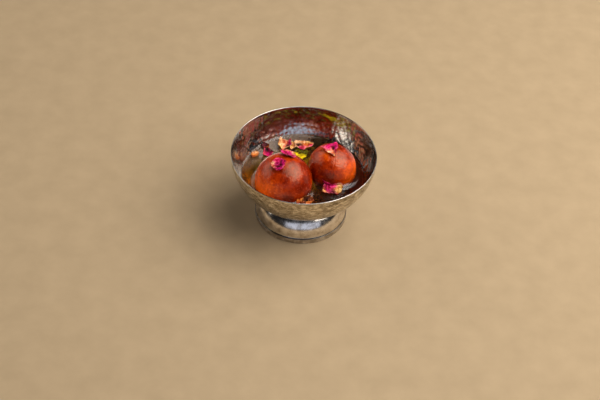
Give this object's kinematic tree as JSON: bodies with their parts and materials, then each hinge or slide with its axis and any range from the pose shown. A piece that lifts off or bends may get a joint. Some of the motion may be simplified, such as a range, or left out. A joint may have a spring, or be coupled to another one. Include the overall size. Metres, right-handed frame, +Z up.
{
  "type": "gulab jamun",
  "caption": "Fried milk dumplings in amber syrup with dried rose petals, served in a hammered metal bowl on a domed foot.",
  "frame": {"origin": "centre of the foot's resting face, on the table", "axes": "+Z up, out of the bowl's mouth; -Y towards the eater, +X to the eater's right"},
  "size_m": [0.108, 0.108, 0.0656],
  "materials": {
    "metal": "hammered and polished inside, satin outside",
    "syrup": "clear dark amber sugar syrup",
    "dumpling": "fried brown skin, wet with syrup",
    "rose_petal": "dried rose petal, magenta",
    "cream_petal": "dried rose petal, cream and pink",
    "maroon_petal": "dried rose petal, dark maroon",
    "russet_scrap": "soaked brown petal scrap"
  },
  "bodies": {
    "root": {"cup": "metal", "foot_ring": "metal", "syrup": "syrup", "jamun_large": "dumpling", "jamun_small": "dumpling", "petal_crown": "rose_petal", "petal_ridge": "rose_petal", "petal_triangle": "rose_petal", "petal_side": "rose_petal", "petal_front": "rose_petal", "petal_cream": "cream_petal", "petal_double": "cream_petal", "petal_maroon": "maroon_petal", "petal_scrap": "russet_scrap", "russet_scrap": "russet_scrap"}
  },
  "joints": []
}
